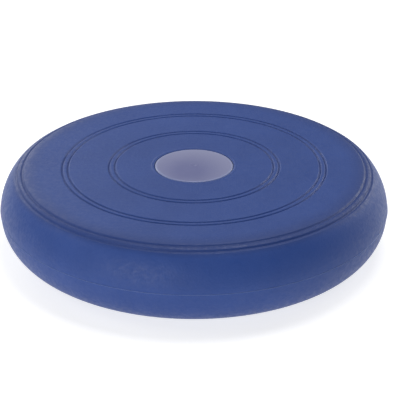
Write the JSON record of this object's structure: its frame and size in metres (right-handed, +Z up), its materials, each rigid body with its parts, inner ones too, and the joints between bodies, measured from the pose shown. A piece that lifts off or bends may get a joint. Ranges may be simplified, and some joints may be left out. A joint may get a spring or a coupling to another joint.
{
  "type": "inflatable balance cushion",
  "caption": "Low round air-filled balance cushion with a flat top, paired concentric grooves, a round centre inlay, a mid-height seam and a needle valve with a pull-out plug.",
  "frame": {"origin": "on the floor, at the centre of the cushion's outline", "axes": "+Z is up along the cushion's axis; the valve is on the +Y side"},
  "size_m": [0.39, 0.39, 0.0825],
  "materials": {
    "skin": "matte soft PVC, finely grained",
    "weld": "smooth soft PVC",
    "inlay": "smooth satin",
    "valve": "smooth soft PVC",
    "core": "matte rubber"
  },
  "bodies": {
    "base": {"lower_shell": "skin", "base_medallion": "inlay", "valve_housing": "valve", "valve_core": "core"},
    "seam": {"seam_weld": "weld"},
    "top": {"upper_shell": "skin", "top_medallion": "inlay"},
    "plug": {"valve_plug": "valve"}
  },
  "joints": [
    {"name": "tilt_side", "type": "hinge", "parent": "base", "child": "seam", "pos_m": [0, 0, 0.0208], "axis": [0, 1, 0], "range_deg": [-6, 6], "stiffness_Nm_per_rad": 120, "deforming": ["lower_shell"]},
    {"name": "tilt_fore_aft", "type": "hinge", "parent": "seam", "child": "top", "pos_m": [0, 0, 0.0628], "axis": [1, 0, 0], "range_deg": [-6, 6], "stiffness_Nm_per_rad": 120, "deforming": ["upper_shell"]},
    {"name": "plug_pull", "type": "slide", "parent": "base", "child": "plug", "axis": [0, 0.869, -0.4948], "range_m": [0, 0.015]}
  ]
}
